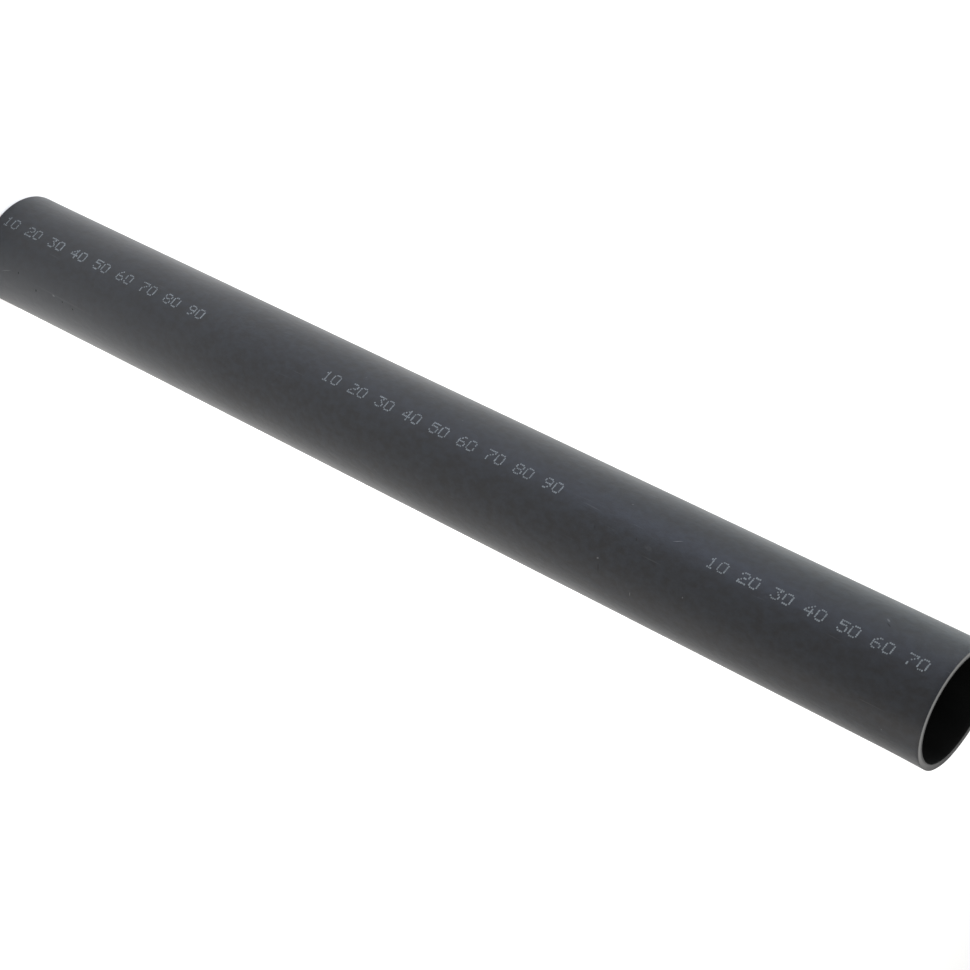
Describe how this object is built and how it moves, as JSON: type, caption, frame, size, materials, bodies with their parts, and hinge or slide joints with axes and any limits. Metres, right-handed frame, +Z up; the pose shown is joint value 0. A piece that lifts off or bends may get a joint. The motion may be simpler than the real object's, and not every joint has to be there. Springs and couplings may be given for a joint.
{
  "type": "heat shrink tube",
  "caption": "Straight round heat shrink tube with a heavy black wall, open at both ends and cut square.",
  "frame": {"origin": "in the middle of the cut end that the tube stands on, on that surface", "axes": "+Z up the tube's axis, to the end that the picture shows nearest; X and Y across the tube"},
  "size_m": [0.0212, 0.0212, 0.207],
  "materials": {
    "tube": "satin black cross-linked polyolefin"
  },
  "bodies": {
    "root": {"tube": "tube"}
  },
  "joints": []
}
